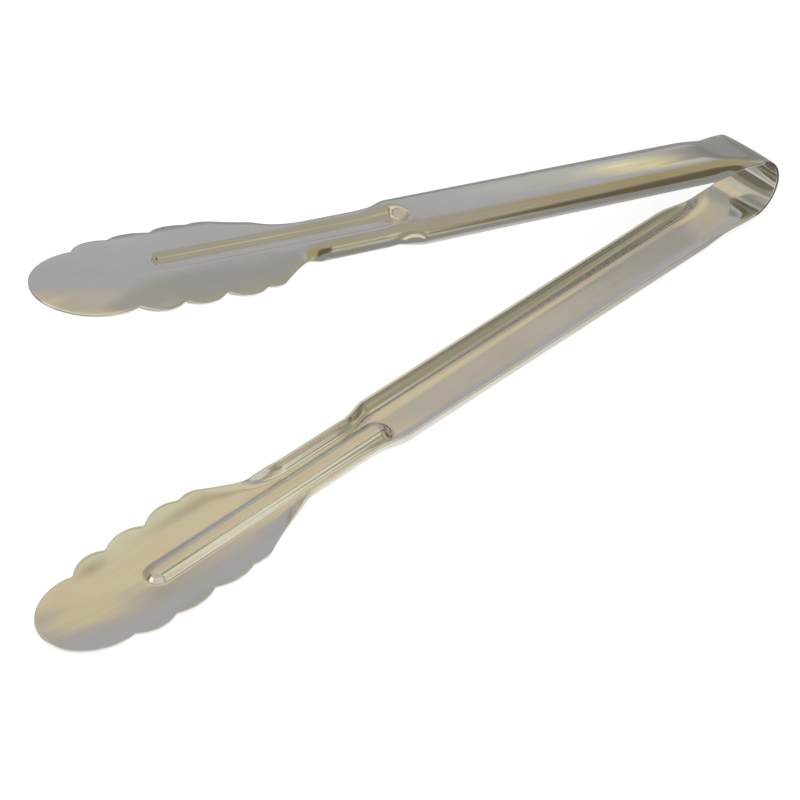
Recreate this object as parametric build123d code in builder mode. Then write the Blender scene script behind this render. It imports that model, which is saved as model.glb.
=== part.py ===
"""Kitchen tongs pressed from one strip of stainless steel.

The strip is a trough-shaped handle, a narrower neck and a scalloped, dished
gripping head at each end, with a pressed rib from the shoulder into the head.
Its flat middle is bent round into a springy bow, which is the only hinge.

The tongs lie open on the web of the lower arm. The arms reach along -X, +Z is
up and Y = 0 is the plane of symmetry. The origin is on the resting surface,
under the middle of the overall length.
"""

import os
from math import atan2, cos, degrees, radians, sin, tan

from build123d import *

MM = 1.0

# Whole tongs
sheet = 1.0 * MM
overall_length = 300.0 * MM
open_angle = 20.6
overrun = 2.0 * MM

# Bow: a flat band bent round a circle, and the run-out where the flanges fade
bow_radius = 11.2 * MM
bow_half_width = 10.9 * MM
bow_rise = 2.1 * MM
bow_flange_angle = 1.0
run_out_length = 26.0 * MM

# Handle, as long as the rest leaves it: flat web, fold and flange of one half,
# measured on the outside
handle_web = 5.55 * MM
handle_flange = 5.95 * MM
handle_angle = 46.8
fold_arc = 2.53 * MM

# Neck: narrower and steeper, its web lifted a little towards the other arm
shoulder_length = 15.5 * MM
neck_length = 20.9 * MM
neck_web = 5.95 * MM
neck_flange = 3.4 * MM
neck_angle = 68.0
neck_lift = 1.2 * MM

# Head: the flanges open into a shallow dish whose tip curls to the other arm
flare_length = 24.6 * MM
head_length = 71.8 * MM
head_half_width = 20.6 * MM
head_web = 1.0 * MM
head_flange = 2.0 * MM
dish_radius = 77.0 * MM
head_lift = 0.7 * MM
curl_length = 37.0 * MM
tip_curl = 4.1 * MM
tip_round_length = 18.5 * MM
tip_half_width = 16.3 * MM
scallop_round = 1.0 * MM

# Pressed rib: a groove outside and a ridge inside, with sloping walls
rib_start_inset = 1.9 * MM
rib_tip_inset = 38.1 * MM
rib_half_width = 3.75 * MM
rib_depth = 2.0 * MM
rib_draft = 35.0
rib_round = 0.6 * MM

# Scallops down one edge of the head: the crest and the far notch of each, as
# a share of the way from the flare to the round tip and a share of the widest
scallop_start_share = 0.882
scallop_shares = (
    ((0.067, 0.940), (0.153, 0.914)),
    ((0.274, 1.000), (0.412, 0.862)),
    ((0.558, 0.979), (0.686, 0.872)),
    ((0.821, 0.944), (0.942, 0.768)),
)
# Even steps through a smooth change from one section to the next
step_shares = (0.0, 0.25, 0.5, 0.75, 1.0)
shoulder_step_shares = (0.0, 0.5, 1.0)
# Along the flare the flanges lie down first, and the strip widens after that
lie_down_end_share = 0.6
widen_start_share = 0.45
widen_power_share = 1.25
# Along the run-out the strip narrows first, and the flanges lie down after that
narrow_end_share = 0.7
unfold_power_share = 1.25

# Places worked out from the sizes; a reach is measured from the bow's centre
bow_height = bow_rise + bow_radius
tip_reach = overall_length - bow_radius
bow_x = tip_reach - overall_length / 2
head_reach = tip_reach - head_length
flare_reach = head_reach - flare_length
neck_reach = flare_reach - neck_length
handle_reach = neck_reach - shoulder_length
rib_start = handle_reach + rib_start_inset
rib_end = tip_reach - rib_tip_inset
curl_reach = tip_reach - curl_length
round_reach = tip_reach - tip_round_length
bow_centre = (bow_x, 0, bow_height)
bow_axis = Axis(bow_centre, (0, -1, 0))
half_angle = radians(open_angle / 2)
bisector = Plane(origin=bow_centre, z_dir=(sin(half_angle), 0, cos(half_angle)))
plan = Plane(origin=(bow_x, 0, 0), x_dir=(-1, 0, 0), z_dir=(0, 0, 1))


def station(reach):
    """Plane square to the lower arm, at a reach from the bow's centre."""
    return Plane(origin=(bow_x - reach, 0, 0), x_dir=(0, -1, 0), z_dir=(-1, 0, 0))


def ease(first, last, share):
    """A value that leaves the first and arrives at the last without a kink."""
    return first + (last - first) * share * share * (3 - 2 * share)


def even(first, last, share):
    """A value an even share of the way from the first to the last."""
    return first + (last - first) * share


def face_line(web, fold, flange, angle, level, inset):
    """One face of half the strip: web, fold and flange. Returns its end.

    The fold has its own length along the outside of the strip, whatever its
    angle, and a smaller radius on a face that is inset from there.
    """
    floor = Line((0, level), (web, level))
    bend = JernArc(floor @ 1, (1, 0), fold / radians(angle) - inset, angle)
    wall = PolarLine(bend @ 1, flange, direction=bend % 1)
    return wall @ 1


def strip_section(reach, web, fold, flange, angle, lift):
    """Section of the strip: both faces of it, closed by its two cut edges."""
    with BuildSketch(station(reach)) as profile:
        with BuildLine():
            outer_end = face_line(web, fold, flange, angle, lift, 0)
            inner_end = face_line(web, fold, flange, angle, lift + sheet, sheet)
            Line(outer_end, inner_end)
            mirror(about=Plane.YZ)
        make_face()
    return profile.sketch


def handle_section(reach):
    """Section of the handle, the same all along it."""
    return strip_section(reach, handle_web, fold_arc, handle_flange, handle_angle, 0)


def neck_section(reach):
    """Section of the neck."""
    return strip_section(reach, neck_web, fold_arc, neck_flange, neck_angle, neck_lift)


def head_lift_at(reach):
    """How far the middle of the head stands off the resting surface."""
    rise = (head_lift - neck_lift) * (reach - flare_reach) / (curl_reach - flare_reach)
    curl = tip_curl * max(reach - curl_reach, 0) ** 2 / curl_length**2
    return neck_lift + rise + curl


def dish_section(reach, half_width):
    """Section of the dished head, wide enough for a half width along the strip."""
    fold = half_width - head_web - head_flange
    angle = degrees(fold / dish_radius)
    return strip_section(reach, head_web, fold, head_flange, angle, head_lift_at(reach))


def scallop_point(shares):
    """Point of the head's edge in plan."""
    place, half_width = shares
    return (even(head_reach, round_reach, place), half_width * head_half_width)


def head_outline():
    """Plan of the scalloped head, both edges, closed across its wide end."""
    start = scallop_point((0, scallop_start_share))
    notch = start
    for crest_shares, notch_shares in scallop_shares:
        next_notch = scallop_point(notch_shares)
        ThreePointArc(notch, scallop_point(crest_shares), next_notch)
        notch = next_notch
    widest = (round_reach, tip_half_width)
    TangentArc(widest, notch, tangent=(-1, 0))
    EllipticalCenterArc((round_reach, 0), tip_round_length, tip_half_width, arc_size=90)
    Line((head_reach, 0), start)
    mirror(about=Plane.XZ)


def head_notches():
    """Corners of the head's plan between two scallops."""
    inside = vertices().filter_by(lambda corner: abs(corner.Y) > tip_half_width / 2)
    return inside.filter_by(lambda corner: head_reach + scallop_round < corner.X < round_reach)


def web_lift(reach):
    """How far the outside of the web stands off the resting surface."""
    if reach > flare_reach:
        return head_lift_at(reach)
    if reach > neck_reach:
        return neck_lift
    return ease(0, neck_lift, max(reach - handle_reach, 0) / shoulder_length)


def rib_plan(widening):
    """Plan of the rib on the web's outside, widened all round."""
    start_centre = rib_start + rib_half_width - neck_reach
    end_centre = rib_end - rib_half_width - neck_reach
    with Locations(((start_centre + end_centre) / 2, 0)):
        SlotCenterToCenter(end_centre - start_centre, 2 * (rib_half_width + widening))


# The rib follows a line from the start of the neck to its own end
rib_tilt = atan2(head_lift_at(rib_end) - neck_lift, rib_end - neck_reach)
rib_plane = Plane(
    origin=(bow_x - neck_reach, 0, neck_lift),
    x_dir=(-cos(rib_tilt), 0, sin(rib_tilt)),
    z_dir=(sin(rib_tilt), 0, cos(rib_tilt)),
)
wall_slope = tan(radians(rib_draft))
ridge_widening = sheet / cos(radians(rib_draft))
rib_foot = neck_lift + overrun

with BuildPart() as groove:
    with BuildSketch(rib_plane.offset(-rib_foot)):
        rib_plan(rib_foot * wall_slope)
    extrude(amount=rib_foot + rib_depth, taper=rib_draft)
    fillet(groove.faces().sort_by(Axis.Z)[-1].edges(), rib_round)

with BuildPart() as ridge:
    with BuildSketch(rib_plane.offset(-rib_foot)):
        rib_plan(rib_foot * wall_slope + ridge_widening)
    extrude(amount=rib_foot + rib_depth + sheet, taper=rib_draft)
    fillet(ridge.faces().sort_by(Axis.Z)[-1].edges(), rib_round + sheet)
    with BuildSketch(Plane.XZ):
        with BuildLine():
            reaches = (handle_reach, neck_reach, flare_reach, head_reach, curl_reach, round_reach)
            bed = Spline([(bow_x - reach, web_lift(reach) + sheet / 2) for reach in reaches])
            above = Line((bow_x - handle_reach, bow_height), (bow_x - round_reach, bow_height))
            Line(bed @ 0, above @ 0)
            Line(bed @ 1, above @ 1)
        make_face()
    extrude(amount=head_half_width, both=True, mode=Mode.INTERSECT)


def shoulder_section(share):
    """Section of the shoulder, a share of the way from the handle to the neck."""
    return strip_section(
        even(handle_reach, neck_reach, share),
        ease(handle_web, neck_web, share),
        fold_arc,
        ease(handle_flange, neck_flange, share),
        ease(handle_angle, neck_angle, share),
        ease(0, neck_lift, share),
    )


def flare_section(share):
    """Section of the flare, a share of the way from the neck to the dish."""
    reach = even(flare_reach, head_reach, share)
    lie_down = min(share / lie_down_end_share, 1)
    widen = (max(share - widen_start_share, 0) / (1 - widen_start_share)) ** widen_power_share
    dish_fold = scallop_start_share * head_half_width - head_web - head_flange
    return strip_section(
        reach,
        even(neck_web, head_web, widen),
        even(fold_arc, dish_fold, widen),
        even(neck_flange, head_flange, widen),
        ease(neck_angle, degrees(dish_fold / dish_radius), lie_down),
        head_lift_at(reach),
    )


def run_out_section(share):
    """Section of the run-out, a share of the way from the handle to the bow."""
    narrow = min(share / narrow_end_share, 1)
    unfold = share**unfold_power_share
    return strip_section(
        even(run_out_length, 0, share),
        handle_web,
        fold_arc,
        ease(handle_flange, bow_half_width - handle_web - fold_arc, narrow),
        ease(handle_angle, bow_flange_angle, unfold),
        ease(0, bow_rise, unfold),
    )


with BuildPart() as head:
    wide = head_half_width + overrun
    loft([dish_section(even(head_reach, tip_reach + overrun, share), wide) for share in step_shares])
    with BuildSketch(plan.offset(-overrun)):
        with BuildLine():
            head_outline()
        make_face()
        fillet(head_notches(), scallop_round)
    extrude(amount=bow_height, mode=Mode.INTERSECT)

with BuildPart() as lower_arm:
    loft([run_out_section(share) for share in step_shares])
    extrude(handle_section(run_out_length), amount=handle_reach - run_out_length)
    loft([shoulder_section(share) for share in shoulder_step_shares])
    extrude(neck_section(neck_reach), amount=neck_length)
    loft([flare_section(share) for share in step_shares])
    add(head.part)
    add(ridge.part)
    add(groove.part, mode=Mode.SUBTRACT)

with BuildPart() as upper_arm:
    mirror(lower_arm.part, about=bisector)

with BuildPart() as spring_bow:
    revolve(run_out_section(1), axis=bow_axis, revolution_arc=180 - open_angle)

lower_arm.part.label = "lower_arm"
upper_arm.part.label = "upper_arm"
spring_bow.part.label = "spring_bow"

os.makedirs("parts", exist_ok=True)
export_step(lower_arm.part, "parts/lower_arm.step")
export_step(upper_arm.part, "parts/upper_arm.step")
export_step(spring_bow.part, "parts/spring_bow.step")
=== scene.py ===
from math import cos, pi, radians, sin, tan

import bpy
import numpy as np
from mathutils import Matrix, Vector


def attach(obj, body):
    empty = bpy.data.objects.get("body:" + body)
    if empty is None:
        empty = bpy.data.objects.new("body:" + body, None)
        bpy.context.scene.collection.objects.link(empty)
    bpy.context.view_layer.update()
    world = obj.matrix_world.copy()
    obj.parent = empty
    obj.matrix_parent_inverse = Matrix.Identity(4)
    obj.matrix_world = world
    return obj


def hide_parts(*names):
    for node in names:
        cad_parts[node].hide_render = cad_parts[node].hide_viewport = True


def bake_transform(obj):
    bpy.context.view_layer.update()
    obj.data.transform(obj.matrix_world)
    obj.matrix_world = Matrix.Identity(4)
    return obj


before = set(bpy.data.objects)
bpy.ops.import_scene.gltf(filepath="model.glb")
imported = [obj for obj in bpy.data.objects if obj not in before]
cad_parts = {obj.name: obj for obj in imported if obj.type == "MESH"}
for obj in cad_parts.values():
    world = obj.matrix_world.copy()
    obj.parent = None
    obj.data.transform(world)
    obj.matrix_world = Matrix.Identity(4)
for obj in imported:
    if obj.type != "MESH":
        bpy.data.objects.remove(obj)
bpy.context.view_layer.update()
mm = 0.001

# The strip before it is bent round: sizes in mm, angles in degrees. A reach is
# measured along an arm from the bow's centre, and a width from the middle.
strip = {
    "sheet": 1.0,
    "edgeRound": 0.3,  # radius on both rims of the cut edge
    "openAngle": 20.6,  # between the two arms
    "bowX": 138.8,
    "bowHeight": 13.3,
    "bowRadius": 11.2,  # of its outside
    "bowHalfWidth": 10.9,
    "bowRise": 2.11,  # of the web over the surface, where the bow starts
    "bowFlangeAngle": 1.0,
    "runOut": 26.0,  # along it the flanges fade towards the bow
    "narrowEnd": 0.7,  # share of the run-out that narrows
    "unfoldPower": 1.25,
    "handleReach": 156.0,  # the handle's end
    "handleWeb": 4.85,
    "handleFlange": 5.95,
    "handleAngle": 46.8,
    "foldArc": 2.53,  # on the outside of the strip
    "neckReach": 171.5,  # the shoulder's end
    "neckWeb": 5.95,
    "neckFlange": 3.4,
    "neckAngle": 68.0,
    "neckLift": 1.2,
    "flareReach": 192.4,  # the neck's end
    "headReach": 217.0,  # the flare's end
    "headWeb": 1.0,
    "dishRadius": 77.0,
    "headSlope": -0.5 / 59.4,  # down by 0.5 from the neck's end to the curl
    "slopeBlend": 5.0,
    "slopeLead": 20.0,  # how long before the flare the slope sets in
    "curlReach": 251.8,
    "curlLength": 37.0,
    "tipCurl": 4.1,
    "lieDownEnd": 0.6,  # share of the flare along which the flanges lie down
    "widenStart": 0.45,  # share of the flare at which it starts to widen
    "widenPower": 1.25,
    "handleBend": 2.4,  # how late the bend of the section grows steep
    "handleFlat": 0.45,  # share of the web that stays flat
    "neckBend": 0.65,
    "neckFlat": 0.95,
    "taperStart": 0.06,  # share of the shoulder at which the section changes
    "taperEnd": 0.72,
    "taperSoftness": 0.18,
    "crownRadius": 260.0,  # of the handle's slightly round web
    "blendReach": 10,  # a reach from the bow's centre towards each arm
}

# The pressed rib, on the middle of the sheet
rib = {
    "startCentre": 161.6,  # of its round ends
    "endCentre": 246.9,
    "startFlat": 1.0,  # half width of its flat top
    "endFlat": 1.05,
    "depth": 2.0,
    "endReach": 250.7,
    "endLift": 0.709,  # of the web below the rib's end
    "wallAngle": 50.0,
    "crownRound": 3.0,
    "footRound": 2.2,
}

# The scalloped edge: crest and far notch of each, in mm of reach and half width
scallops = {
    "start": (217.0, 18.17),
    "crestAndNotch": (
        ((220.57, 19.36), (225.15, 18.83)),
        ((231.60, 20.55), (238.96, 17.76)),
        ((246.74, 20.17), (253.56, 17.96)),
        ((260.76, 19.45), (267.21, 15.82)),
    ),
    "tipStart": 270.3,
    "tipLength": 18.46,
    "tipHalfWidth": 16.3,
    "softness": 0.5,  # of the notches
    "bellReach": 4,  # in softnesses
    "spacing": 0.05,
    "arcPoints": 60,
    "joinPoints": 30,
    "tipPoints": 400,
}

# Where the grid's lines run: reach by step by reach, in mm. Close steps lie
# where the rib's walls and ends are.
grid = {
    "handleRows": (0, 0.1, 0.1, 0.7, 26, 2.6, 152),
    "neckRows": (152, 0.7, 155.4, 0.24, 162, 0.7, 171.5, 1.0, 192.4, 0.5, 217),
    "headRows": (217, 0.45, 244.5, 0.22, 252, 0.45, 289),
    "middleColumns": (0, 0.38, 1.9, 0.165, 4.7, 0.4, 5.5),  # outwards from the middle line
    "outerColumns": 22,
    "foldColumns": 10,
    "foldPart": 0.31,  # share of the outer columns' width that the fold takes
    "bowStep": 1.5,  # degrees
    "bowEndStep": 0.1,
    "edgeSteps": 4,  # in each quarter circle round the cut edge
    "cornerAngle": 40.0,  # where the grid's corner lies on the round tip
    "startBlend": 1.5,  # how soon the scallops' line leaves the flare's edge
    "stillPart": 0.3,  # share of the half width that the edge doesn't pull
    "pullPower": 1.5,
    "sideShift": 100.0,  # of the grain, from the upper to the lower skin
}


def ease(first, last, share):
    # first plus the change times 3 share squared less 2 share cubed
    return first + (last - first) * share * share * (3 - 2 * share)


def even(first, last, share):
    # first plus the change times the share
    return first + (last - first) * share


def taper(first, last, share):
    # a straight change with its two ends rounded off by parabolas
    soft = strip["taperSoftness"]
    fromEnd = np.minimum(share, 1 - share)
    half = np.where(fromEnd < soft, fromEnd**2 / (2 * soft), fromEnd - soft / 2) / (1 - soft)
    return first + (last - first) * np.where(share < 0.5, half, 1 - half)


def shareOf(place, first, last):
    # how far a place is from the first to the last, held between 0 and 1
    return np.clip((place - first) / (last - first), 0, 1)


def onShoulder(reach):
    # 0 at the handle's end, 1 where the neck starts
    return shareOf(reach, strip["handleReach"], strip["neckReach"])


def towardsBow(reach):
    # 0 where the handle is whole, 1 where the bow starts
    return 1 - shareOf(reach, 0, strip["runOut"])


def unit(vectors):
    # each vector divided by its length
    return vectors / np.linalg.norm(vectors, axis=-1, keepdims=True)


def mirrored(half, sign):
    # one half's values, before them the same in reverse for the other half
    return np.concatenate([sign * half[..., :0:-1], half], -1)


def steps(*marks):
    # places from mark to mark, each stretch cut into its own even steps
    places = [np.array([marks[0]])]
    for last, step, following in zip(marks[0::2], marks[1::2], marks[2::2]):
        count = max(int(round((following - last) / step)), 1)
        places.append(np.linspace(last, following, count + 1)[1:])
    return np.concatenate(places)


def quadsOf(places):
    # the cells of a grid of vertex numbers, each by its corners in turn
    corners = [places[:-1, :-1], places[:-1, 1:], places[1:, 1:], places[1:, :-1]]
    return np.stack(corners, -1).reshape(-1, 4)


def newObject(name, data):
    # a mesh, lamp or camera placed in the scene
    made = bpy.data.objects.new(name, data)
    bpy.context.scene.collection.objects.link(made)
    return made


def liftAt(reach):
    # height of the web's underside: eased up to the neck, a long gentle slope
    # down the head that sets in along a hyperbola, and a parabola up to the
    # tip; the other way it is eased up to the bow
    past = reach - strip["flareReach"]
    slope = (past + np.sqrt(past**2 + strip["slopeBlend"] ** 2)) / 2 * strip["headSlope"]
    onHead = np.where(past > -strip["slopeLead"], slope, 0)
    curl = strip["tipCurl"] * (np.clip(reach - strip["curlReach"], 0, None) / strip["curlLength"]) ** 2
    unfold = towardsBow(reach) ** strip["unfoldPower"]
    return ease(0, strip["neckLift"], onShoulder(reach)) + onHead + curl + ease(0, strip["bowRise"], unfold)


def sectionAt(reach):
    # web, fold, flange and fold angle at each reach, changed evenly, eased or
    # tapered from one part of the strip into the next, and from them the soft
    # bend
    shoulder = shareOf(onShoulder(reach), strip["taperStart"], strip["taperEnd"])
    flare = shareOf(reach, strip["flareReach"], strip["headReach"])
    narrow = shareOf(towardsBow(reach), 0, strip["narrowEnd"])
    unfold = towardsBow(reach) ** strip["unfoldPower"]
    lieDown = shareOf(flare, 0, strip["lieDownEnd"])
    widen = shareOf(flare, strip["widenStart"], 1) ** strip["widenPower"]
    dishFold = scallops["start"][1] - strip["headWeb"]
    dishAngle = np.degrees(dishFold / strip["dishRadius"])
    bowFlange = strip["bowHalfWidth"] - strip["handleWeb"] - strip["foldArc"]
    web = even(taper(strip["handleWeb"], strip["neckWeb"], shoulder), strip["headWeb"], widen)
    fold = even(strip["foldArc"], dishFold, widen)
    flange = even(taper(strip["handleFlange"], strip["neckFlange"], shoulder), 0, widen)
    flange = ease(flange, bowFlange, narrow)
    angle = ease(taper(strip["handleAngle"], strip["neckAngle"], shoulder), dishAngle, lieDown)
    angle = np.radians(ease(angle, strip["bowFlangeAngle"], unfold))
    power = even(ease(strip["handleBend"], strip["neckBend"], shoulder), 1, lieDown)
    flatShare = even(ease(strip["handleFlat"], strip["neckFlat"], shoulder), 1, lieDown)
    return (*softBend(web, fold, flange, angle, power, flatShare), power)


def edgeOf(web, fold, flange, angle):
    # where the sheet's middle ends: straight web, an arc, a straight flange
    radius = fold / angle - strip["sheet"] / 2
    sideways = web + radius * np.sin(angle) + flange * np.cos(angle)
    return sideways, radius * (1 - np.cos(angle)) + flange * np.sin(angle)


def softBend(web, fold, flange, angle, power, flatShare):
    # the real bend is drawn out: beyond a flat middle the slope's angle grows
    # with a power of the way out. Halving finds the last angle, and from it the
    # length, that end where the sharper bend of edgeOf ends.
    samples, halvings, steepest = 400, 40, 2.0
    endSideways, endUp = edgeOf(web, fold, flange, angle)
    flat = web * flatShare
    wanted = endUp / (endSideways - flat)
    growth = ((np.arange(samples) + 0.5) / samples) ** power[..., None]
    lowest, highest = np.zeros_like(wanted), np.full_like(wanted, steepest)
    for _ in range(halvings):
        lastSlope = (lowest + highest) / 2
        slopes = lastSlope[..., None] * growth
        tooFlat = np.sin(slopes).mean(-1) / np.cos(slopes).mean(-1) < wanted
        lowest, highest = np.where(tooFlat, lastSlope, lowest), np.where(tooFlat, highest, lastSlope)
    length = (endSideways - flat) / np.cos(lastSlope[..., None] * growth).mean(-1)
    return flat, length, lastSlope


def middleOfSection(across, flat, length, lastSlope, power):
    # adds up short steps from the middle line outwards, each at the slope of
    # its own halfway point
    outward = across[..., across.shape[-1] // 2 :]
    step = np.diff(outward, axis=-1)
    halfway = (outward[..., 1:] + outward[..., :-1]) / 2
    slope = lastSlope * np.clip((halfway - flat) / length, 0, None) ** power
    start = np.zeros_like(outward[..., :1])
    sideways = np.concatenate([start, np.cumsum(step * np.cos(slope), -1)], -1)
    up = np.concatenate([start, np.cumsum(step * np.sin(slope), -1)], -1)
    return mirrored(sideways, -1), mirrored(up + strip["sheet"] / 2, 1)


def ribRise(reach, sideways):
    # a flat top, then an arc, a straight wall and an arc down to the web, by
    # the distance from the line between the centres of the rib's two ends
    along = shareOf(reach, rib["startCentre"], rib["endCentre"])
    nearest = even(rib["startCentre"], rib["endCentre"], along)
    outward = np.hypot(reach - nearest, sideways) - even(rib["startFlat"], rib["endFlat"], along)
    onNeck = (reach - strip["neckReach"]) / (rib["endReach"] - strip["neckReach"])
    height = even(strip["neckLift"], rib["endLift"], onNeck) + rib["depth"] - liftAt(reach)
    wall = radians(rib["wallAngle"])
    crown, foot = rib["crownRound"], rib["footRound"]
    crownSpan, footSpan = crown * sin(wall), foot * sin(wall)
    arcsDrop = (crown + foot) * (1 - cos(wall))
    width = (height - arcsDrop) / tan(wall) + (crown + foot) * sin(wall)
    fromCrown = np.clip(outward, 0, None)
    fromFoot = np.clip(width - outward, 0, None)
    crownArc = height - crown + np.sqrt(crown**2 - np.minimum(fromCrown, crownSpan) ** 2)
    straight = height - crown * (1 - cos(wall)) - (fromCrown - crownSpan) * tan(wall)
    footArc = foot - np.sqrt(foot**2 - np.minimum(fromFoot, footSpan) ** 2)
    belowCrown = np.where(fromFoot < footSpan, footArc, straight)
    return np.where(fromCrown < crownSpan, crownArc, belowCrown)


def columnsTo(edge):
    # columns across one half: fixed near the middle, stretched beyond it as
    # far as the edge, and closer together over the fold
    middle = steps(*grid["middleColumns"])
    folds = np.linspace(0, grid["foldPart"], grid["foldColumns"] + 1)[1:]
    others = np.linspace(grid["foldPart"], 1, grid["outerColumns"] - grid["foldColumns"] + 1)[1:]
    shares = np.concatenate([folds, others])
    edge = np.asarray(edge, float)[..., None]
    middles = np.broadcast_to(middle, edge.shape[:-1] + middle.shape)
    return mirrored(np.concatenate([middles, middle[-1] + (edge - middle[-1]) * shares], -1), -1)


def arcThrough(first, middle, last, count):
    # points of the circle through three points, from the first to the last,
    # with reach and half width together as one complex number
    start, via, end = (complex(*point) for point in (first, middle, last))
    ratio = (end - start) / (via - start)
    centre = start + (via - start) * (ratio - abs(ratio) ** 2) / (2j * ratio.imag)
    turn = np.angle((end - centre) / (start - centre))
    turnToVia = np.angle((via - centre) / (start - centre))
    if turn * turnToVia < 0 or abs(turnToVia) > abs(turn):
        turn -= np.sign(turn) * 2 * pi
    points = centre + (start - centre) * np.exp(1j * turn * np.linspace(0, 1, count))
    return np.stack([points.real, points.imag], -1)


def evenlySpaced(points, step):
    # the same line, cut into steps of one length
    way = np.concatenate([[0], np.cumsum(np.linalg.norm(np.diff(points, axis=0), axis=1))])
    places = np.linspace(0, way[-1], int(way[-1] / step) + 1)
    return np.stack([np.interp(places, way, points[:, axis]) for axis in (0, 1)], -1)


def headOutline():
    # an arc for each scallop, an arc that runs level into the tip's widest
    # place, and the half ellipse of the tip
    pieces = []
    notch = scallops["start"]
    for crest, nextNotch in scallops["crestAndNotch"]:
        pieces.append(arcThrough(notch, crest, nextNotch, scallops["arcPoints"])[:-1])
        notch = nextNotch
    tipStart, tipHalfWidth = scallops["tipStart"], scallops["tipHalfWidth"]
    back, down = notch[0] - tipStart, tipHalfWidth - notch[1]
    radius = (back**2 + down**2) / (2 * down)
    turned = np.linspace(np.arcsin(back / radius), 0, scallops["joinPoints"])[:-1]
    join = [tipStart + radius * np.sin(turned), tipHalfWidth - radius * (1 - np.cos(turned))]
    pieces.append(np.stack(join, -1))
    turned = np.linspace(0, pi, scallops["tipPoints"])
    tip = [tipStart + scallops["tipLength"] * np.sin(turned), tipHalfWidth * np.cos(turned)]
    pieces.append(np.stack(tip, -1))
    return evenlySpaced(np.concatenate(pieces), scallops["spacing"])


def headEdge():
    # the outline as far as the middle of the tip, with its notches softened by
    # a running mean under a bell curve, moved in by the edge's rounding
    line = headOutline()
    softness, spacing = scallops["softness"], scallops["spacing"]
    reachOut = int(scallops["bellReach"] * softness / spacing)
    offsets = np.arange(-reachOut, reachOut + 1) * spacing
    bell = np.exp(-((offsets / softness) ** 2) / 2)
    bell /= bell.sum()
    before = 2 * line[0] - line[reachOut:0:-1]
    after = line[-2 : -2 - reachOut : -1]
    padded = np.concatenate([before, line, after])
    line = np.stack([np.convolve(padded[:, axis], bell, "valid") for axis in (0, 1)], -1)
    line = line[: np.argmax(line[:, 1] < 0)]
    ahead = unit(np.gradient(line, axis=0))
    return line + np.stack([ahead[:, 1], -ahead[:, 0]], -1) * strip["edgeRound"]


def headPlan(startReach, startColumns):
    # the plan of the head as a patch between the flare's last row, the two
    # scalloped edges and the tip: straight ways from the first row to the last,
    # and what the edge differs from them fades out towards the middle
    edge = headEdge()
    startGap = startColumns[-1] - edge[0, 1]
    edge[:, 1] += startGap * np.exp(-(edge[:, 0] - startReach) / grid["startBlend"])
    edge[0, 0] = startReach
    cornerReach = scallops["tipStart"] + scallops["tipLength"] * sin(radians(grid["cornerAngle"]))
    corner = np.argmax(edge[:, 0] > cornerReach)
    side, tip = edge[: corner + 1], edge[corner:]
    lastColumns = columnsTo(side[-1, 1])
    lastReach = np.interp(-np.abs(lastColumns), -tip[:, 1], tip[:, 0])
    lastReach[[0, -1]] = side[-1, 0]
    middleRows = steps(*grid["headRows"])
    shares = shareOf(middleRows, startReach, middleRows[-1])
    way = np.linspace(0, 1, len(side))
    edgeRows = np.stack([np.interp(shares, way, side[:, axis]) for axis in (0, 1)], -1)
    reach = even(startReach, lastReach, shares[:, None])
    sideways = even(startColumns, lastColumns, shares[:, None])
    pull = shareOf(np.abs(sideways) / sideways[:, -1:], grid["stillPart"], 1) ** grid["pullPower"]
    reach += pull * (edgeRows[:, :1] - reach[:, -1:])
    sideways += pull * np.sign(sideways) * (edgeRows[:, 1:] - sideways[:, -1:])
    return reach[1:], sideways[1:]


def crownAt(sideways):
    # a parabola across the web
    return sideways**2 / (2 * strip["crownRadius"])


def armMiddle():
    # the middle of the sheet along one arm, as a grid of reach, sideways and
    # up: the sections as far as the flare, then the dish, an arc beyond a flat
    # web; on both the lift, the rib and, on the handle, the crown
    rows = np.concatenate([steps(*grid["handleRows"]), steps(*grid["neckRows"])[1:]])
    flat, length, lastSlope, power = (value[:, None] for value in sectionAt(rows))
    across = columnsTo((flat + length)[:, 0] - strip["edgeRound"])
    reach = np.broadcast_to(rows[:, None], across.shape)
    sideways, up = middleOfSection(across, flat, length, lastSlope, power)
    headReach, headSideways = headPlan(rows[-1], sideways[-1])
    beyondWeb = np.clip(np.abs(headSideways) - strip["headWeb"], 0, None)
    turned = np.arcsin(beyondWeb / strip["dishRadius"])
    dish = strip["sheet"] / 2 + strip["dishRadius"] * (1 - np.cos(turned))
    reach = np.concatenate([reach, headReach])
    sideways = np.concatenate([sideways, headSideways])
    across = np.concatenate([across, headSideways])
    up = np.concatenate([up, dish]) + liftAt(reach) + ribRise(reach, sideways)
    up = up + crownAt(sideways) * ease(1, 0, onShoulder(reach))
    return np.stack([reach, sideways, up], -1), across


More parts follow.
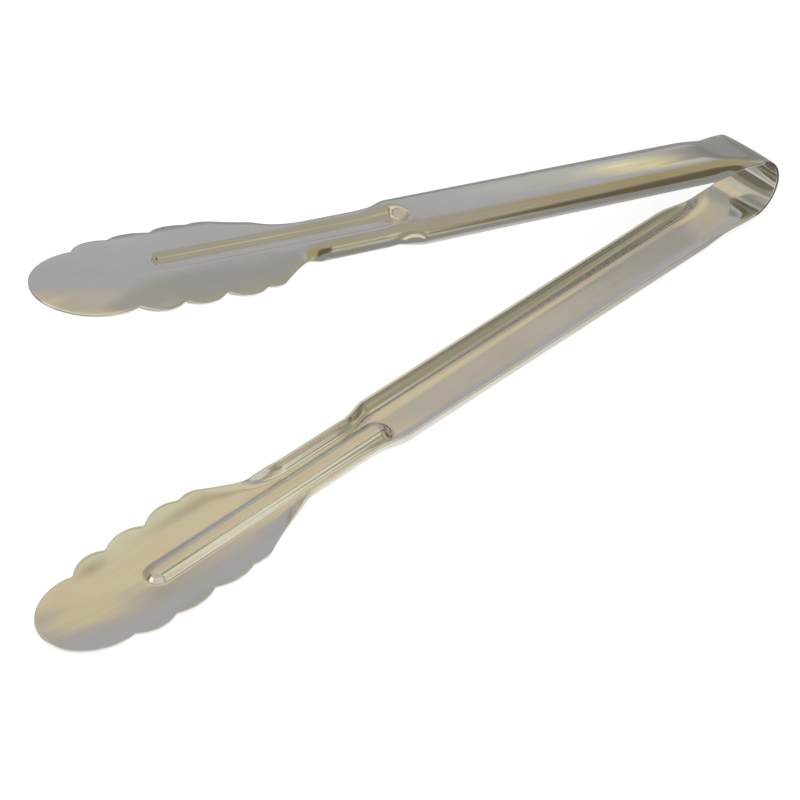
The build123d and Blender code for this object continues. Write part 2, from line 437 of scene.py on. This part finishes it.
def sheetSolid(name, middle, facing, across, along, loops, capLast):
    # two skins half a sheet either side of the middle; round each free edge a
    # quarter circle, a flat and a quarter circle; a flat cap where the strip
    # carries on in the next piece
    rows, columns = middle.shape[:2]
    half = strip["sheet"] / 2 * mm
    edgeRound = strip["edgeRound"] * mm
    sideShift = grid["sideShift"] * mm
    under = rows * columns  # number of the first vertex of the second skin
    places = np.arange(under).reshape(rows, columns)
    stripWay = np.stack([along, across], -1)
    points = [(middle + facing * half).reshape(-1, 3), (middle - facing * half).reshape(-1, 3)]
    faces = [quadsOf(places), quadsOf(places)[:, ::-1] + under]
    uv = [stripWay.reshape(-1, 2), stripWay.reshape(-1, 2) + (0, sideShift)]
    edgeMask = [np.zeros(2 * under)]
    used = 2 * under
    quarter = np.linspace(0, pi / 2, grid["edgeSteps"] + 1)[1:]
    turns = np.concatenate([quarter, quarter[::-1]])
    sides = np.repeat([1, -1], grid["edgeSteps"])
    caps = []
    for loop in loops:
        onLoop = tuple(loop.T)
        at, normal = middle[onLoop], facing[onLoop]
        outward = unit(np.cross(np.gradient(at, axis=0), normal))
        inner = middle[loop[:, 0], np.clip(loop[:, 1], 1, columns - 2)]
        if np.mean(np.sum(outward * (at - inner), -1)) < 0:
            outward = -outward
        ring = [places[onLoop]]
        for turn, side in zip(turns, sides):
            off = side * normal * (half - edgeRound * (1 - cos(turn)))
            points.append(at + outward * edgeRound * sin(turn) + off)
            uv.append(stripWay[onLoop] + (0, sideShift * (1 - side) / 2))
            edgeMask.append(np.full(len(loop), sin(turn)))
            ring.append(used + np.arange(len(loop)))
            used += len(loop)
        ring = np.array([*ring, places[onLoop] + under])
        faces.append(quadsOf(ring))
        caps += [ring[:, 0].tolist(), ring[::-1, -1].tolist()]
    ends = [places[0, ::-1]]
    if capLast:
        ends.append(places[-1])
    for end in ends:
        caps += np.stack([end[:-1], end[1:], end[1:] + under, end[:-1] + under], -1).tolist()
    smooth = np.concatenate(faces)
    mesh = bpy.data.meshes.new(name)
    mesh.from_pydata(np.concatenate(points).tolist(), [], smooth.tolist() + caps)
    mesh.polygons.foreach_set("use_smooth", np.arange(len(mesh.polygons)) < len(smooth))
    corners = np.empty(len(mesh.loops), int)
    mesh.loops.foreach_get("vertex_index", corners)
    mesh.uv_layers.new(name="stripWay").data.foreach_set("uv", np.concatenate(uv)[corners].ravel())
    mesh.attributes.new("cutEdge", "FLOAT", "POINT").data.foreach_set("value", np.concatenate(edgeMask))
    mesh.validate()
    return newObject(name, mesh)


def facingOf(middle):
    # square to the sheet, by the differences between neighbours both ways
    return unit(np.cross(np.gradient(middle, axis=1), np.gradient(middle, axis=0)))


def longEdges(rows, columns):
    # row and column of each place on the two long edges, up one, down the other
    up = np.stack([np.arange(rows), np.zeros(rows, int)], -1)
    down = np.stack([np.arange(rows)[::-1], np.full(rows, columns - 1)], -1)
    return up, down


def makeArm(name, upper):
    # the arm lies along -X from the bow; the upper one is its mirror image in
    # the plane that halves the opening
    middle, across = armMiddle()
    place = np.stack([strip["bowX"] - middle[..., 0], middle[..., 1], middle[..., 2]], -1) * mm
    facing = facingOf(place)
    facing[0, :, 0] = 0  # the strip carries straight on into the bow
    facing = unit(facing)
    if upper:
        halfOpen = radians(strip["openAngle"] / 2)
        apart = np.array([sin(halfOpen), 0, cos(halfOpen)])
        centre = np.array([strip["bowX"], 0, strip["bowHeight"]]) * mm
        place = place - 2 * ((place - centre) @ apart)[..., None] * apart
        facing = -(facing - 2 * (facing @ apart)[..., None] * apart)
    rows, columns = place.shape[:2]
    up, down = longEdges(rows, columns)
    over = np.stack([np.full(columns, rows - 1), np.arange(columns)], -1)
    loop = np.concatenate([up, over[1:-1], down])
    return sheetSolid(name, place, facing, across * mm, middle[..., 0] * mm, [loop], False)


def makeBow(name):
    # the strip's first section carried round a circle, from arm to arm
    flat, length, lastSlope, power = sectionAt(np.array([0.0]))
    across = columnsTo((flat + length)[0] - strip["edgeRound"])
    sideways, up = middleOfSection(across, flat, length, lastSlope, power)
    up = up + crownAt(sideways) + strip["bowRise"] - strip["bowHeight"]
    turn, endStep = 180 - strip["openAngle"], grid["bowEndStep"]
    turns = steps(0, endStep, endStep, grid["bowStep"], turn - endStep, endStep, turn)
    turns = np.radians(turns)[:, None]
    x = strip["bowX"] - up * np.sin(turns)
    z = strip["bowHeight"] + up * np.cos(turns)
    place = np.stack([x, np.broadcast_to(sideways, x.shape), z], -1) * mm
    along = np.broadcast_to(-turns * (strip["bowRadius"] * mm), x.shape)
    across = np.broadcast_to(across, x.shape) * mm
    return sheetSolid(name, place, facingOf(place), across, along, longEdges(*x.shape), True)


lowerStrip = makeArm("lower_strip", False)
upperStrip = makeArm("upper_strip", True)
bowBand = makeBow("bow_band")
for piece in (lowerStrip, upperStrip, bowBand):
    piece.data.calc_loop_triangles()
    print("shaped", piece.name, "with", len(piece.data.loop_triangles), "triangles")


class Nodes:
    # short hand for placing and linking nodes in one tree
    def __init__(self, tree):
        self.tree = tree
        self.count = 0

    def add(self, kind, inputs=(), **settings):
        node = self.tree.nodes.new(kind)
        node.location = (self.count % 8 * 220, -(self.count // 8) * 260)
        self.count += 1
        for key, value in settings.items():
            setattr(node, key, value)
        for key, value in dict(inputs).items():
            if isinstance(value, bpy.types.NodeSocket):
                self.tree.links.new(value, node.inputs[key])
            else:
                node.inputs[key].default_value = value
        return node

    def math(self, operation, first, second=0.0, third=0.0):
        node = self.add("ShaderNodeMath", {0: first, 1: second, 2: third}, operation=operation)
        return node.outputs[0]

    def vector(self, operation, first, second):
        node = self.add("ShaderNodeVectorMath", {0: first, 1: second}, operation=operation)
        return node.outputs

    def between(self, value, levels):
        # 0 below the first level, 1 above the second, a smooth step between
        low, high = levels
        inputs = {0: value, 1: low, 2: high}
        node = self.add("ShaderNodeMapRange", inputs, clamp=True, interpolation_type="SMOOTHSTEP")
        return node.outputs[0]

    def blend(self, share, first, second):
        node = self.add("ShaderNodeMix", {0: share, 6: first, 7: second}, data_type="RGBA")
        return node.outputs[2]

    def noise(self, vector, scale, detail=2.0, roughness=0.5):
        inputs = {"Vector": vector, "Scale": scale, "Detail": detail, "Roughness": roughness}
        return self.add("ShaderNodeTexNoise", inputs).outputs[0]

    def group(self, tree, **inputs):
        return self.add("ShaderNodeGroup", inputs, node_tree=tree).outputs

    def shown(self, rays):
        # 1 for what the camera, a mirror image or a look through glass shows
        seen = self.math("ADD", rays["Is Camera Ray"], rays["Is Glossy Ray"])
        return self.math("MINIMUM", self.math("ADD", seen, rays["Is Transmission Ray"]), 1.0)


def newMaterial(name):
    # a material without nodes, and the short hand for its tree
    material = bpy.data.materials.new(name)
    material.use_nodes = True
    material.node_tree.nodes.clear()
    return material, Nodes(material.node_tree)


def newGroup(name, inputs, outputs):
    # a node group with numbers in and out, but for a vector as its first input
    tree = bpy.data.node_groups.new(name, "ShaderNodeTree")
    for label in inputs:
        kind = "NodeSocketVector" if label == inputs[0] else "NodeSocketFloat"
        tree.interface.new_socket(name=label, in_out="INPUT", socket_type=kind)
    for label in outputs:
        tree.interface.new_socket(name=label, in_out="OUTPUT", socket_type="NodeSocketFloat")
    nodes = Nodes(tree)
    return nodes, nodes.add("NodeGroupInput").outputs, nodes.add("NodeGroupOutput").inputs


# Patterns on the steel. Levels are where a noise counts as none and as full.
patterns = {
    "hair": (1.0, 3.0, 0.6),  # scale, detail and roughness of each width
    "medium": (0.31, 2.0, 0.6),
    "broad": (0.09, 2.0, 0.5),
    "mediumShare": 0.6,
    "broadShare": 0.5,
    "streakLevels": (0.8, 1.25),
    "scratchStretch": (90, 5200, 1),
    "scratchLevels": (0.76, 0.82),
    "patchScale": 130.0,
    "patchLevels": (0.45, 0.65),
    "cloudDetail": (3.0, 0.55),
    "cloudLevels": (0.42, 0.68),
    "spotsInMark": 16.0,
    "spotLevels": (0.74, 0.78),
}


def makeGrainGroup():
    # long fine streaks along the strip, in three widths added up
    nodes, given, out = newGroup("brushedGrain", ("Way", "Length", "Spacing"), ("Height", "Streaks"))
    lengthways = nodes.math("DIVIDE", 1.0, given["Length"])
    sideways = nodes.math("DIVIDE", 1.0, given["Spacing"])
    scale = nodes.add("ShaderNodeCombineXYZ", {0: lengthways, 1: sideways, 2: 1.0}).outputs[0]
    stretched = nodes.vector("MULTIPLY", given["Way"], scale)["Vector"]
    hair, medium, broad = (nodes.noise(stretched, *patterns[kind]) for kind in ("hair", "medium", "broad"))
    height = nodes.math("MULTIPLY_ADD", medium, patterns["mediumShare"], hair)
    height = nodes.math("MULTIPLY_ADD", broad, patterns["broadShare"], height)
    streaks = nodes.between(nodes.math("ADD", medium, broad), patterns["streakLevels"])
    nodes.tree.links.new(height, out["Height"])
    nodes.tree.links.new(streaks, out["Streaks"])
    return nodes.tree


def makeScratchGroup():
    # sparse short scratches at a slant, where a stretched noise passes a level
    # inside the patches of a broader noise
    nodes, given, out = newGroup("fineScratches", ("Way", "Turn", "Amount"), ("Mask",))
    turn = {"Vector": given["Way"], "Angle": given["Turn"]}
    turned = nodes.add("ShaderNodeVectorRotate", turn, rotation_type="Z_AXIS").outputs[0]
    stretched = nodes.vector("MULTIPLY", turned, patterns["scratchStretch"])["Vector"]
    cut = nodes.between(nodes.noise(stretched, 1.0, 1.0), patterns["scratchLevels"])
    patch = nodes.between(nodes.noise(given["Way"], patterns["patchScale"], 1.0), patterns["patchLevels"])
    mask = nodes.math("MULTIPLY", nodes.math("MULTIPLY", cut, patch), given["Amount"])
    nodes.tree.links.new(mask, out["Mask"])
    return nodes.tree


def makeMarksGroup():
    # cloudy handling marks and dried water: large soft patches and small spots
    nodes, given, out = newGroup("handlingMarks", ("Place", "Size"), ("Clouds", "Spots"))
    scale = nodes.math("DIVIDE", 1.0, given["Size"])
    spotScale = nodes.math("MULTIPLY", scale, patterns["spotsInMark"])
    clouds = nodes.noise(given["Place"], scale, *patterns["cloudDetail"])
    spots = nodes.noise(given["Place"], spotScale, 1.0)
    nodes.tree.links.new(nodes.between(clouds, patterns["cloudLevels"]), out["Clouds"])
    nodes.tree.links.new(nodes.between(spots, patterns["spotLevels"]), out["Spots"])
    return nodes.tree


grainGroup = makeGrainGroup()
scratchGroup = makeScratchGroup()
marksGroup = makeMarksGroup()

# Finish of the steel, with sizes in mm and angles in degrees
finish = {
    "tone": (0.66, 0.64, 0.60),
    "warmTone": (0.62, 0.56, 0.46),
    "warmShare": 0.35,
    "streakTone": (0.5, 0.49, 0.47),
    "streakShare": 0.10,
    # painted highlight: the cut edge is coloured lighter than the steel, so that its rim shows as a bright
    # line
    "paintedEdgeLight": (0.86, 0.85, 0.82),
    "paintedEdgeShare": 0.8,
    "edgeLevels": (0.35, 0.95),
    "roughness": 0.08,
    "streakRoughness": 0.03,  # these four add to the roughness
    "cloudRoughness": 0.02,
    "spotRoughness": 0.05,
    "scratchRoughness": 0.06,
    "edgeRoughness": 0.25,
    "grainSpacing": 0.22,
    "grainLength": 14.0,
    "grainDepth": 0.00035,
    "rippleSize": 16.0,
    "rippleDepth": 0.012,
    "scratchTurn": 24.0,
    "scratchDepth": 0.0002,
    "markSize": 22.0,
    "secondMirror": 0.4,  # how far towards white, seen in another reflection
}
# On the bow the cut edge is coloured nearly black, a painted shade along its rim.
bowChanges = {"grainLength": 9.0, "paintedEdgeLight": (0.12, 0.11, 0.09), "edgeRoughness": 0.4}


def makeSteel(name, changes):
    look = {**finish, **changes}
    material, nodes = newMaterial(name)
    way = nodes.add("ShaderNodeUVMap", uv_map="stripWay").outputs[0]
    place = nodes.add("ShaderNodeTexCoord").outputs["Object"]
    edge = nodes.add("ShaderNodeAttribute", attribute_name="cutEdge").outputs["Fac"]
    again = nodes.add("ShaderNodeLightPath").outputs["Is Glossy Ray"]
    length, spacing = look["grainLength"] * mm, look["grainSpacing"] * mm
    grain = nodes.group(grainGroup, Way=way, Length=length, Spacing=spacing)
    scratch = nodes.group(scratchGroup, Way=way, Turn=radians(look["scratchTurn"]), Amount=1.0)
    marks = nodes.group(marksGroup, Place=place, Size=look["markSize"] * mm)
    cutEdge = nodes.between(edge, look["edgeLevels"])
    colour = (*look["tone"], 1)
    # the warm patches and grain streaks are the steel's own; the cut edge's tone is painted light, a
    # highlight on the arms and a shade on the bow
    for mask, share, tone in (
        (marks["Clouds"], look["warmShare"], look["warmTone"]),
        (grain["Streaks"], look["streakShare"], look["streakTone"]),
        (cutEdge, look["paintedEdgeShare"], look["paintedEdgeLight"]),
        (again, look["secondMirror"], (1, 1, 1)),
    ):
        colour = nodes.blend(nodes.math("MULTIPLY", mask, share), colour, (*tone, 1))
    rough = look["roughness"]
    for mask, added in (
        (grain["Streaks"], look["streakRoughness"]),
        (marks["Clouds"], look["cloudRoughness"]),
        (marks["Spots"], look["spotRoughness"]),
        (scratch["Mask"], look["scratchRoughness"]),
        (cutEdge, look["edgeRoughness"] - look["roughness"]),
    ):
        rough = nodes.math("MULTIPLY_ADD", mask, added, rough)
    ripple = nodes.noise(place, 1 / (look["rippleSize"] * mm), 1.0)
    height = nodes.math("MULTIPLY", ripple, look["rippleDepth"] * mm)
    height = nodes.math("MULTIPLY_ADD", grain["Height"], look["grainDepth"] * mm, height)
    height = nodes.math("MULTIPLY_ADD", scratch["Mask"], -look["scratchDepth"] * mm, height)
    bump = nodes.add("ShaderNodeBump", {"Strength": 1.0, "Distance": 1.0, "Height": height})
    surface = {"Base Color": colour, "Roughness": rough, "Normal": bump.outputs[0], "Metallic": 1.0}
    shader = nodes.add("ShaderNodeBsdfPrincipled", surface)
    nodes.add("ShaderNodeOutputMaterial", {"Surface": shader.outputs[0]})
    return material


armSteel = makeSteel("armSteel", {})
bowSteel = makeSteel("bowSteel", bowChanges)
lowerStrip.data.materials.append(armSteel)
upperStrip.data.materials.append(armSteel)
bowBand.data.materials.append(bowSteel)
print("finished the steel")

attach(lowerStrip, "lower_arm")
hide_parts("lower_arm")
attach(upperStrip, "upper_arm")
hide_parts("upper_arm")
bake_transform(bowBand)
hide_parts("spring_bow")

# The light tent that the steel mirrors: soft panels on a dome, seen only in
# reflections. For each: azimuth and elevation from the part's +X, half width
# and half height, and how soft its edge is, all in degrees, and the tone. Later
# ones cover earlier ones.
tent = {
    "radius": 1000,
    "columns": 360,
    "rows": (-10, 1, 0, 0.5, 30, 1.5, 90),  # elevation by step by elevation
    "base": (0.51, 0.49, 0.40),
    "panels": {
        "greyWall": (46, 14, 32, 23, 8, (0.56, 0.57, 0.60)),
        "dimGrey": (31, 29, 10, 6, 6, (0.47, 0.46, 0.46)),
        "greyFoot": (22, 1, 9, 7, 3, (0.32, 0.32, 0.32)),
        "paleFoot": (35, 8, 3, 3, 2, (0.65, 0.66, 0.63)),
        "oliveCorner": (82, 8, 9, 14, 8, (0.45, 0.45, 0.40)),
        "warmWall": (48, 41, 24, 5, 6, (0.65, 0.61, 0.55)),
        "dimWall": (35, 39, 6, 8, 5, (0.49, 0.48, 0.44)),
        "tanCeiling": (46, 58, 42, 11, 6, (0.88, 0.78, 0.56)),
        "tanFoot": (60.5, 44, 6, 5, 4, (0.84, 0.74, 0.51)),
        "brownCeiling": (14, 53, 12, 8, 8, (0.69, 0.61, 0.46)),
        "brownStreak": (52, 64, 4, 3, 5, (0.50, 0.43, 0.30)),
        "creamCeiling": (36, 74, 60, 9, 8, (0.88, 0.85, 0.63)),
        "tanWall": (0, 34, 26, 14, 8, (0.53, 0.50, 0.40)),
        "goldWall": (4, 15, 14, 12, 8, (0.50, 0.43, 0.26)),
        "goldStrip": (7, 3, 6, 5, 4, (0.69, 0.60, 0.35)),
        "oliveWall": (-50, 22, 13, 36, 8, (0.43, 0.42, 0.29)),
        "paleWall": (-34, 38, 12, 16, 8, (0.53, 0.51, 0.37)),
        "darkWall": (-23, 9, 14, 11.5, 7, (0.18, 0.15, 0.09)),
        "neckWall": (-38, 23, 7, 6, 4, (0.76, 0.73, 0.53)),
        "lightFoot": (-45, 7, 4, 7, 4, (0.69, 0.65, 0.53)),
        "brightCeiling": (-36, 67, 36, 11, 8, (0.99, 0.96, 0.74)),
        "creamWall": (-75, 26, 10, 26, 8, (0.79, 0.76, 0.58)),
        "oliveEdge": (-84, 8, 9, 13, 3, (0.41, 0.40, 0.29)),
        "whiteStripLow": (-71, 18, 3.5, 16, 3, (1.05, 1.05, 0.88)),
        "whiteStrip": (-66, 42, 4, 13, 5, (1.07, 1.06, 0.92)),
        "whiteStripHigh": (-54, 57, 10, 4, 5, (1.12, 1.11, 0.90)),
        "goldFar": (31.2, 7.7, 1.8, 0.8, 1.0, (1.26, 1.16, 0.65)),
        "goldMiddle": (28.3, 9.4, 2.0, 0.9, 1.2, (1.05, 0.96, 0.58)),
        "goldNear": (25.2, 11.3, 2.2, 1.0, 1.5, (0.89, 0.81, 0.53)),
        "peachBack": (180, 60, 85, 24, 10, (0.74, 0.68, 0.56)),
        "paleCeiling": (100, 57, 17, 6, 6, (0.74, 0.74, 0.62)),
        "darkCeiling": (134, 37, 8, 9, 6, (0.37, 0.35, 0.29)),
        "darkBack": (143, 10, 8, 20, 6, (0.22, 0.21, 0.15)),
        "whiteBack": (166, 14, 14, 26, 6, (1.48, 1.50, 1.46)),
        "greyBack": (-135, 28, 38, 40, 10, (0.87, 0.86, 0.76)),
    },
}


def inside(distance, halfSize, softness):
    # 1 inside and 0 outside, eased over the softness at the edge
    return ease(0, 1, np.clip((halfSize - distance) / softness + 0.5, 0, 1))


def makeTent():
    # tone by direction: each panel replaces what lies under it, by the product
    # of two soft steps in azimuth and elevation
    azimuth = np.radians(np.linspace(0, 360, tent["columns"] + 1)[:-1])
    elevation = np.radians(steps(*tent["rows"])[:-1])
    turn, height = np.meshgrid(azimuth, elevation)
    place = np.stack([np.cos(turn) * np.cos(height), np.sin(turn) * np.cos(height), np.sin(height)], -1)
    tone = np.ones(place.shape) * tent["base"]
    for centreTurn, centreHeight, halfWidth, halfHeight, softness, colour in tent["panels"].values():
        apart = np.abs((np.degrees(turn) - centreTurn + 180) % 360 - 180)
        above = np.abs(np.degrees(height) - centreHeight)
        cover = (inside(apart, halfWidth, softness) * inside(above, halfHeight, softness))[..., None]
        tone = tone * (1 - cover) + np.array(colour) * cover
    rows, columns = turn.shape
    top = rows * columns
    places = np.arange(top).reshape(rows, columns)
    nextPlaces = np.roll(places, -1, 1)
    quads = np.stack([places[:-1], places[1:], nextPlaces[1:], nextPlaces[:-1]], -1).reshape(-1, 4)
    lid = np.stack([nextPlaces[-1], places[-1], np.full(columns, top)], -1)
    points = np.concatenate([place.reshape(-1, 3), [[0, 0, 1]]]) * tent["radius"] * mm
    tones = np.concatenate([tone.reshape(-1, 3), [tone[-1].mean(0)]])
    tones = np.concatenate([tones, np.ones((len(tones), 1))], 1)
    mesh = bpy.data.meshes.new("tent_dome")
    mesh.from_pydata(points.tolist(), [], quads.tolist() + lid.tolist())
    mesh.attributes.new("tentTone", "FLOAT_COLOR", "POINT").data.foreach_set("color", tones.ravel())
    material, nodes = newMaterial("tentTones")
    tone = nodes.add("ShaderNodeAttribute", attribute_name="tentTone").outputs["Color"]
    glow = nodes.add("ShaderNodeEmission", {"Color": tone, "Strength": 1.0})
    nodes.add("ShaderNodeOutputMaterial", {"Surface": glow.outputs[0]})
    mesh.materials.append(material)
    dome = newObject("tent_dome", mesh)
    for rays in ("camera", "diffuse", "shadow", "transmission", "volume_scatter"):
        setattr(dome, "visible_" + rays, False)
    return dome


# The floor shows white and keeps its shadows. Mirrored in the steel, it grows
# darker away from a place under the flare. Sizes in mm.
ground = {
    "halfSize": 4000,
    "grey": 0.79,
    "mottle": 0.02,
    "mottleSize": 25,
    "roughness": 0.9,
    "specular": 0.1,
    "glow": 0.72,
    "lightPlace": (-60, 0, 0),
    "dimFrom": 60,
    "dimTo": 230,
    "dimShare": 0.66,
}


def makeFloor():
    size = ground["halfSize"] * mm
    corners = [(-size, -size, 0), (size, -size, 0), (size, size, 0), (-size, size, 0)]
    mesh = bpy.data.meshes.new("floor")
    mesh.from_pydata(corners, [], [(0, 1, 2, 3)])
    material, nodes = newMaterial("paleFloor")
    rays = nodes.add("ShaderNodeLightPath").outputs
    place = nodes.add("ShaderNodeTexCoord").outputs["Object"]
    lightPlace = Vector(ground["lightPlace"]) * mm
    away = nodes.vector("DISTANCE", place, lightPlace)["Value"]
    far = nodes.between(away, (ground["dimFrom"] * mm, ground["dimTo"] * mm))
    dim = nodes.math("MULTIPLY", far, rays["Is Glossy Ray"])
    kept = nodes.math("SUBTRACT", 1.0, nodes.math("MULTIPLY", dim, ground["dimShare"]))
    mottle = nodes.noise(place, 1 / (ground["mottleSize"] * mm), 3.0)
    tone = nodes.math("MULTIPLY", nodes.math("MULTIPLY_ADD", mottle, ground["mottle"], ground["grey"]), kept)
    glow = nodes.math("MULTIPLY", nodes.shown(rays), ground["glow"])
    surface = {
        "Base Color": nodes.add("ShaderNodeCombineColor", {0: tone, 1: tone, 2: tone}).outputs[0],
        "Roughness": ground["roughness"],
        "Specular IOR Level": ground["specular"],
        "Emission Color": (1, 1, 1, 1),
        "Emission Strength": nodes.math("MULTIPLY", glow, kept),
    }
    shader = nodes.add("ShaderNodeBsdfPrincipled", surface)
    nodes.add("ShaderNodeOutputMaterial", {"Surface": shader.outputs[0]})
    mesh.materials.append(material)
    return newObject("floor", mesh)


dome = makeTent()
floor = makeFloor()

# Light on the floor: an even white sky and one broad lamp, in mm and watts
lighting = {
    "sky": 0.30,
    "lampSize": 900,
    "lampPower": 4.5,
    "lampPlace": (-500, -700, 1300),
}


def makeSky():
    world = bpy.data.worlds.new("whiteRoom")
    bpy.context.scene.world = world
    world.use_nodes = True
    world.node_tree.nodes.clear()
    nodes = Nodes(world.node_tree)
    shown = nodes.shown(nodes.add("ShaderNodeLightPath").outputs)
    strength = nodes.math("MULTIPLY_ADD", shown, 1 - lighting["sky"], lighting["sky"])
    sky = nodes.add("ShaderNodeBackground", {"Color": (1, 1, 1, 1), "Strength": strength})
    nodes.add("ShaderNodeOutputWorld", {"Surface": sky.outputs[0]})


def makeLamp():
    lampData = bpy.data.lights.new("broadLamp", "AREA")
    lampData.size = lighting["lampSize"] * mm
    lampData.energy = lighting["lampPower"]
    lamp = newObject("broadLamp", lampData)
    lamp.location = Vector(lighting["lampPlace"]) * mm
    lamp.rotation_euler = (-lamp.location).to_track_quat("-Z", "Y").to_euler()
    lamp.visible_glossy = False


# The photograph's viewing angle, in mm and degrees
view = {
    "lookAt": (-14.22, 0, 60),
    "turn": -37.59,
    "height": 42.95,
    "roll": -4.96,
    "distance": 753.74,
    "aside": 5.0,
    "below": -35.89,
    "lens": 113.14,
    "clipStart": 10,
    "clipEnd": 20000,
}


def makeCamera():
    # back from the point looked at, along the turn and height, then rolled and
    # shifted in its own plane
    turn, height, roll = radians(view["turn"]), radians(view["height"]), radians(view["roll"])
    back = Vector((sin(turn) * cos(height), -cos(turn) * cos(height), sin(height)))
    right = Vector((cos(turn), sin(turn), 0))
    up = back.cross(right)
    rolledRight = right * cos(roll) + up * sin(roll)
    rolledUp = up * cos(roll) - right * sin(roll)
    place = Vector(view["lookAt"]) + back * view["distance"]
    place = place + rolledRight * view["aside"] + rolledUp * view["below"]
    cameraData = bpy.data.cameras.new("camera")
    cameraData.lens = view["lens"]
    cameraData.clip_start = view["clipStart"] * mm
    cameraData.clip_end = view["clipEnd"] * mm
    camera = newObject("camera", cameraData)
    axes = Matrix((rolledRight, rolledUp, back)).transposed().to_4x4()
    camera.matrix_world = Matrix.Translation(place * mm) @ axes
    bpy.context.scene.camera = camera


makeSky()
makeLamp()
makeCamera()
bpy.context.scene.view_settings.view_transform = "Standard"
print("lit and framed")
